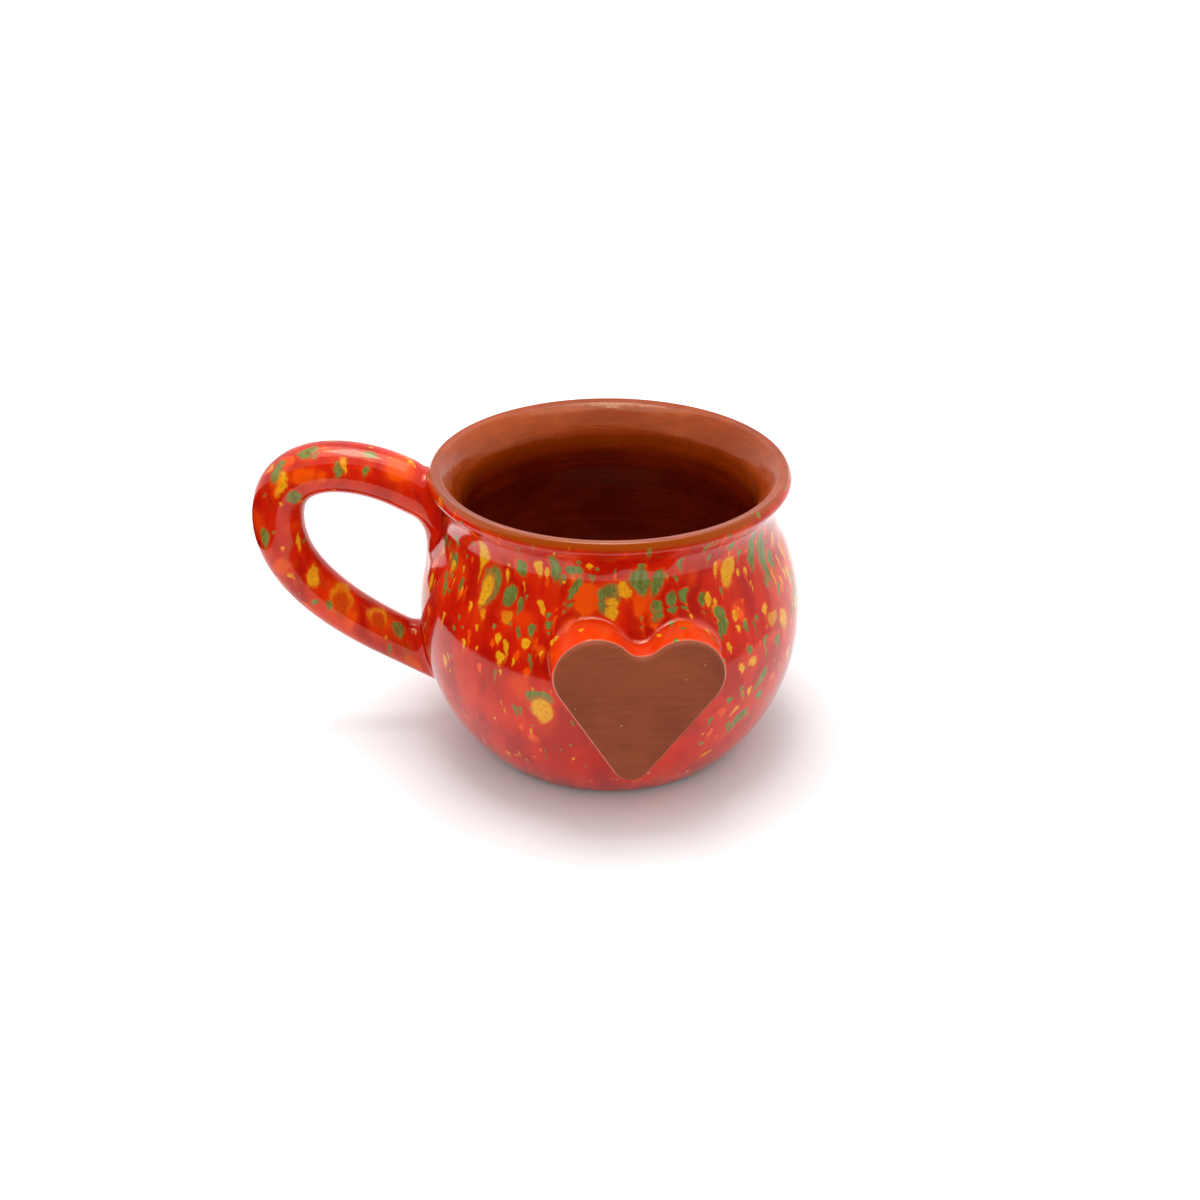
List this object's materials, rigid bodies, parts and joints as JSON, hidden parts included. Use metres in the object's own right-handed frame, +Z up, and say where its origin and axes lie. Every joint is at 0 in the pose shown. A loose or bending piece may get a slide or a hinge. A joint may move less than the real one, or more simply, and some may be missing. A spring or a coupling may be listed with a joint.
{
  "type": "clay mug",
  "caption": "Round-bellied terracotta mug with a flared lip, an ear-shaped coil handle, a raised heart and glossy red glaze flecked with green and yellow, for hot drinks.",
  "frame": {"origin": "centre of the flat foot, on the pot's axis, at the level of the table", "axes": "+Z up along the pot's axis; the handle points to -X; the heart faces -Y, turned 6 degrees towards +X"},
  "size_m": [0.1364, 0.1022, 0.0806],
  "materials": {
    "clay": "bare fired terracotta",
    "slip": "fired slip, hidden in the joints",
    "red_glaze": "glossy red glaze with green, yellow and orange flecks",
    "clear_glaze": "clear gloss over terracotta"
  },
  "bodies": {
    "root": {"pot_body": "clay", "handle": "clay", "heart_plaque": "clay", "upper_handle_slip": "slip", "lower_handle_slip": "slip", "heart_slip": "slip", "pot_glaze": "red_glaze", "handle_glaze": "red_glaze", "heart_glaze": "red_glaze", "inside_glaze": "clear_glaze"}
  },
  "joints": []
}
